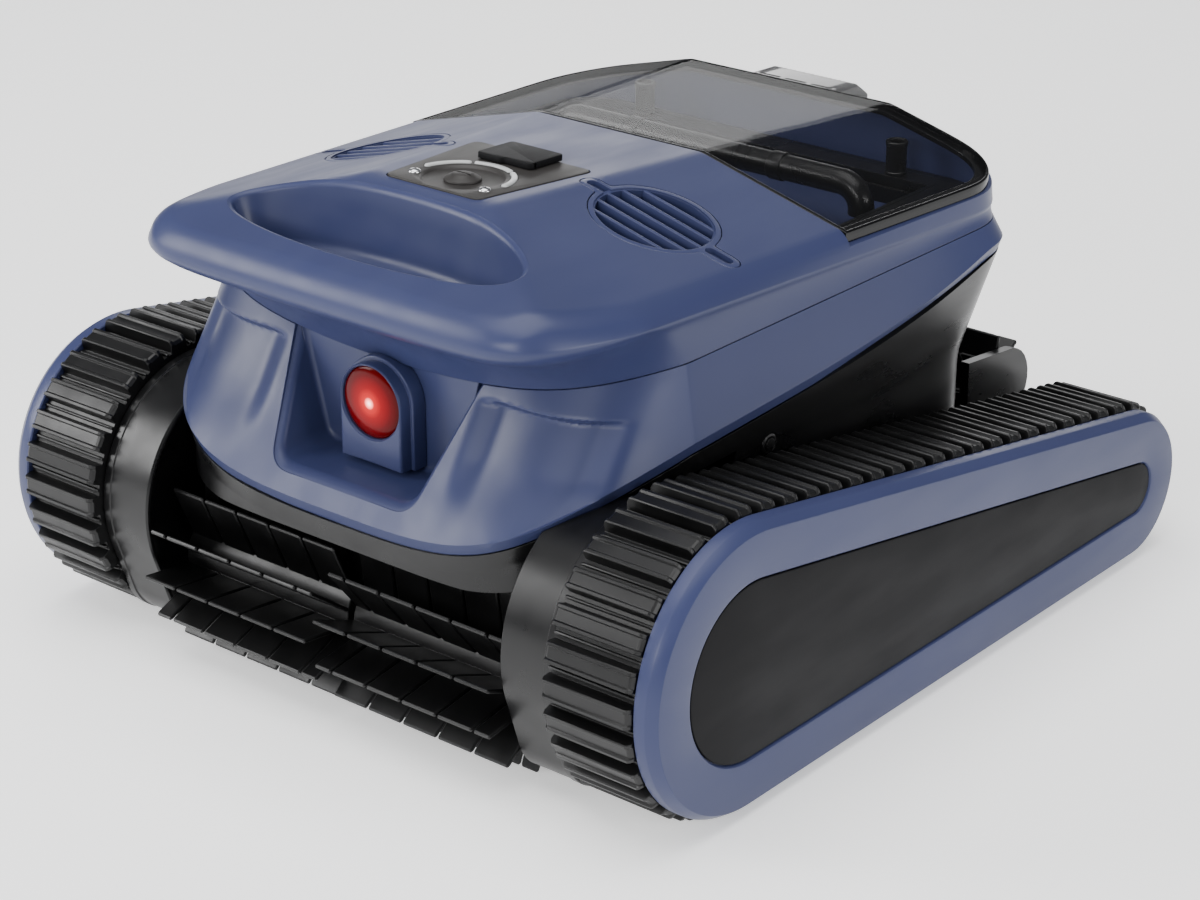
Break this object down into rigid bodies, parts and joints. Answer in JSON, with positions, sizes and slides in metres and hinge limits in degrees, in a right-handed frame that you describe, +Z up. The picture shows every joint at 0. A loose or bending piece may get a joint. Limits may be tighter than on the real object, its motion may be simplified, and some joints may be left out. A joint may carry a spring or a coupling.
{
  "type": "robotic pool cleaner",
  "caption": "Tracked robotic pool cleaner with a carrying bar, round slatted outlets, control panel, smoked filter lid, front brushes and rear roller.",
  "frame": {"origin": "on the floor plane under the lowest lug tips, midway between the sides and between the two ends", "axes": "+X to the right of someone who stands in front of the cleaner and faces its nose, +Y towards its back, +Z up; the nose faces -Y"},
  "size_m": [0.4, 0.4401, 0.2421],
  "materials": {
    "blue": "satin",
    "black": "satin",
    "matt": "matt",
    "rubber": "matt",
    "plate": "matt",
    "steel": "satin",
    "smoke": "gloss",
    "red": "gloss",
    "light": "satin",
    "grey": "matt",
    "can": "satin"
  },
  "bodies": {
    "hull": {"basket_handle": "black", "battery_pack": "grey", "brush_axle": "steel", "charge_port": "matt", "control_box": "grey", "control_panel": "plate", "drive_motor_left": "can", "drive_motor_right": "can", "fender_left": "black", "fender_right": "black", "filter_basket": "black", "filter_bay": "black", "inset_panel_left": "matt", "inset_panel_right": "matt", "lens_pod": "blue", "lid_post_left": "black", "lid_post_right": "black", "light_bar_left": "light", "light_bar_rear": "light", "light_bar_right": "light", "lower_tub": "black", "mid_shell": "blue", "outlet_grille_left": "blue", "outlet_grille_right": "blue", "panel_screw_left": "steel", "panel_screw_right": "steel", "pump_motor_left": "can", "pump_motor_right": "can", "roller_arm_left": "black", "roller_arm_right": "black", "side_cover_left": "blue", "side_cover_right": "blue", "side_plug_left": "black", "side_plug_right": "black", "status_lens": "red", "top_deck": "blue", "track_frame_left": "matt", "track_frame_right": "matt", "track_left": "rubber", "track_right": "rubber"},
    "lid": {"lid_window": "smoke", "lid_rim": "black", "lid_tab": "smoke"},
    "charge_flap": {"charge_flap": "matt"},
    "power_dial": {"power_dial": "plate"},
    "drive_wheel_left": {"drive_wheel_left": "matt"},
    "idler_wheel_left": {"idler_wheel_left": "matt"},
    "road_roller_left": {"road_roller_left": "matt"},
    "front_brush_left": {"front_brush_left": "rubber"},
    "impeller_left": {"impeller_left": "matt"},
    "drive_wheel_right": {"drive_wheel_right": "matt"},
    "idler_wheel_right": {"idler_wheel_right": "matt"},
    "road_roller_right": {"road_roller_right": "matt"},
    "front_brush_right": {"front_brush_right": "rubber"},
    "impeller_right": {"impeller_right": "matt"},
    "rear_roller": {"rear_roller": "rubber"},
    "intake_flap_front": {"intake_flap_front": "rubber"},
    "intake_flap_rear": {"intake_flap_rear": "rubber"}
  },
  "joints": [
    {"name": "lid_hinge", "type": "hinge", "parent": "hull", "child": "lid", "pos_m": [0, 0.0045, 0.23434], "axis": [1, 0, 0], "range_deg": [0, 75]},
    {"name": "charge_flap_hinge", "type": "hinge", "parent": "hull", "child": "charge_flap", "pos_m": [0, -0.05404, 0.23782], "axis": [-1, 0, 0], "range_deg": [0, 90]},
    {"name": "dial_turn", "type": "hinge", "parent": "hull", "child": "power_dial", "pos_m": [0, -0.1065, 0.2394], "axis": [0, 0.046, 0.9989], "range_deg": [-60, 60]},
    {"name": "drive_spin_left", "type": "hinge", "parent": "hull", "child": "drive_wheel_left", "pos_m": [-0.16475, -0.149, 0.0712], "axis": [1, 0, 0], "continuous": true},
    {"name": "idler_spin_left", "type": "hinge", "parent": "hull", "child": "idler_wheel_left", "pos_m": [-0.16475, 0.1776, 0.0426], "axis": [1, 0, 0], "continuous": true},
    {"name": "road_spin_left", "type": "hinge", "parent": "hull", "child": "road_roller_left", "pos_m": [-0.16475, 0.0276, 0.0256], "axis": [1, 0, 0], "continuous": true},
    {"name": "brush_spin_left", "type": "hinge", "parent": "hull", "child": "front_brush_left", "pos_m": [-0.0551, -0.1725, 0.047], "axis": [1, 0, 0], "continuous": true},
    {"name": "impeller_spin_left", "type": "hinge", "parent": "hull", "child": "impeller_left", "pos_m": [-0.0818, -0.0695, 0.228], "axis": [-0.2489, 0.022, 0.9683], "continuous": true},
    {"name": "drive_spin_right", "type": "hinge", "parent": "hull", "child": "drive_wheel_right", "pos_m": [0.16475, -0.149, 0.0712], "axis": [1, 0, 0], "continuous": true},
    {"name": "idler_spin_right", "type": "hinge", "parent": "hull", "child": "idler_wheel_right", "pos_m": [0.16475, 0.1776, 0.0426], "axis": [1, 0, 0], "continuous": true},
    {"name": "road_spin_right", "type": "hinge", "parent": "hull", "child": "road_roller_right", "pos_m": [0.16475, 0.0276, 0.0256], "axis": [1, 0, 0], "continuous": true},
    {"name": "brush_spin_right", "type": "hinge", "parent": "hull", "child": "front_brush_right", "pos_m": [0.0551, -0.1725, 0.047], "axis": [1, 0, 0], "continuous": true},
    {"name": "impeller_spin_right", "type": "hinge", "parent": "hull", "child": "impeller_right", "pos_m": [0.0818, -0.0695, 0.228], "axis": [0.2489, 0.022, 0.9683], "continuous": true},
    {"name": "rear_roller_spin", "type": "hinge", "parent": "hull", "child": "rear_roller", "pos_m": [0, 0.17, 0.083], "axis": [1, 0, 0], "continuous": true},
    {"name": "intake_flap_front_hinge", "type": "hinge", "parent": "hull", "child": "intake_flap_front", "pos_m": [0, 0.04155, 0.0206], "axis": [1, 0, 0], "range_deg": [0, 70]},
    {"name": "intake_flap_rear_hinge", "type": "hinge", "parent": "hull", "child": "intake_flap_rear", "pos_m": [0, 0.09355, 0.0206], "axis": [-1, 0, 0], "range_deg": [0, 70]}
  ],
  "couplings": [
    {"joint": "idler_spin_left", "follows": "drive_spin_left", "ratio": 1.8938},
    {"joint": "road_spin_left", "follows": "drive_spin_left", "ratio": 4.04},
    {"joint": "brush_spin_left", "follows": "drive_spin_left", "ratio": 2},
    {"joint": "idler_spin_right", "follows": "drive_spin_right", "ratio": 1.8938},
    {"joint": "road_spin_right", "follows": "drive_spin_right", "ratio": 4.04},
    {"joint": "brush_spin_right", "follows": "drive_spin_right", "ratio": 2}
  ]
}
